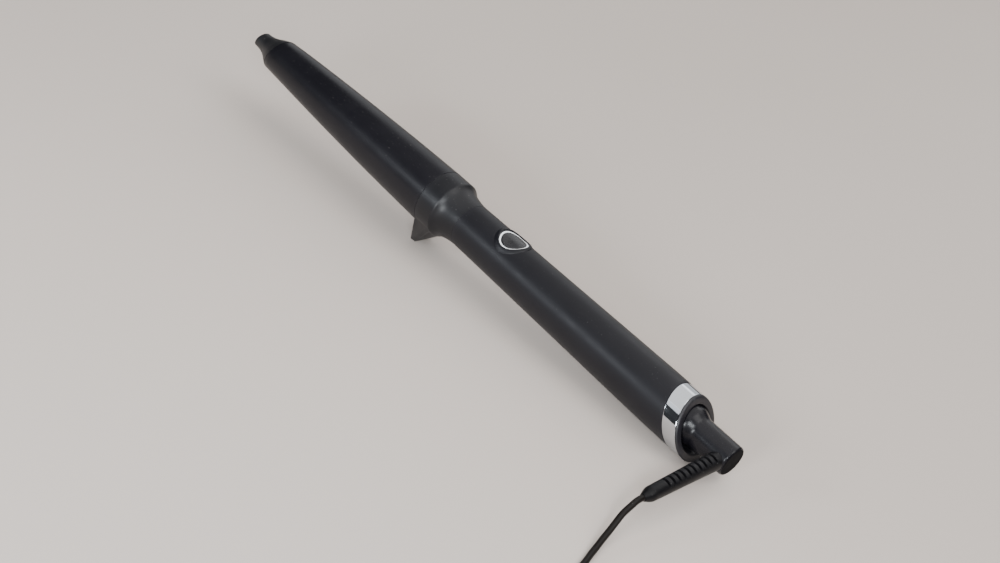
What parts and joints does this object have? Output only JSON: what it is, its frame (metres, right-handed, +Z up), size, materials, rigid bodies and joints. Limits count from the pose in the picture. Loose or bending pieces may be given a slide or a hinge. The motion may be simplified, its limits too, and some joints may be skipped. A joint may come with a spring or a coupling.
{
  "type": "curling wand",
  "caption": "Electric curling wand with a tapered heated barrel, stand foot, round power button, slanted butt and a swivelling cord, lying on a table.",
  "frame": {"origin": "middle of the wand's footprint on the table, without its cord, coil, strain relief and plug", "axes": "+X along the wand from its cool tip to the cord swivel, +Z up from the table, power button on top"},
  "size_m": [0.4452, 0.1802, 0.0444],
  "materials": {
    "soft_touch": "soft-touch coat, matte black",
    "barrel_coat": "satin black coat on aluminium",
    "moulded_black": "fine satin, black",
    "gloss_black": "polished black",
    "cord_black": "satin black",
    "chrome": "mirror polished",
    "light_ring": "milky white",
    "aluminium": "as extruded",
    "ceramic": "unglazed",
    "steel": "nickel plated",
    "brass": "bare",
    "circuit_board": "green solder mask",
    "lead_insulation": "white glass-fibre sleeve",
    "capacitor": "blue dip coat"
  },
  "bodies": {
    "wand": {"barrel": "barrel_coat", "cool_tip": "moulded_black", "heater_strip": "ceramic", "heat_spreader_upper": "aluminium", "heat_spreader_lower": "aluminium", "temperature_sensor": "lead_insulation", "thermal_fuse": "aluminium", "heater_lead_left": "lead_insulation", "heater_lead_right": "lead_insulation", "stand_collar": "moulded_black", "heat_washer": "ceramic", "handle_sleeve": "soft_touch", "light_ring": "light_ring", "circuit_tray": "moulded_black", "circuit_board": "circuit_board", "button_switch": "gloss_black", "switch_plunger": "steel", "ring_lamp": "light_ring", "controller_chip": "gloss_black", "heater_triac": "gloss_black", "filter_capacitor": "capacitor", "buffer_capacitor": "gloss_black", "mains_choke": "steel", "chrome_band": "chrome", "end_cap": "moulded_black", "contact_block": "moulded_black", "ring_brush": "brass", "centre_brush": "brass", "mains_lead_left": "lead_insulation", "mains_lead_right": "lead_insulation", "cord_free": "cord_black", "cord_coil": "cord_black", "cord_tail": "cord_black", "coil_tie": "cord_black", "plug_body": "moulded_black", "plug_pin_left": "steel", "plug_pin_right": "steel", "plug_relief": "cord_black"},
    "button": {"power_button": "gloss_black"},
    "swivel": {"swivel_head": "gloss_black", "swivel_clip": "steel", "slip_ring": "brass", "centre_contact": "brass", "strain_relief": "cord_black"}
  },
  "joints": [
    {"name": "button_press", "type": "slide", "parent": "wand", "child": "button", "axis": [-0.0713, 0, -0.9975], "range_m": [0, 0.0008], "stiffness_N_per_m": 1200},
    {"name": "cord_swivel", "type": "hinge", "parent": "wand", "child": "swivel", "pos_m": [0.14275, 0, 0.01395], "axis": [0.9975, 0, -0.0713], "continuous": true}
  ]
}
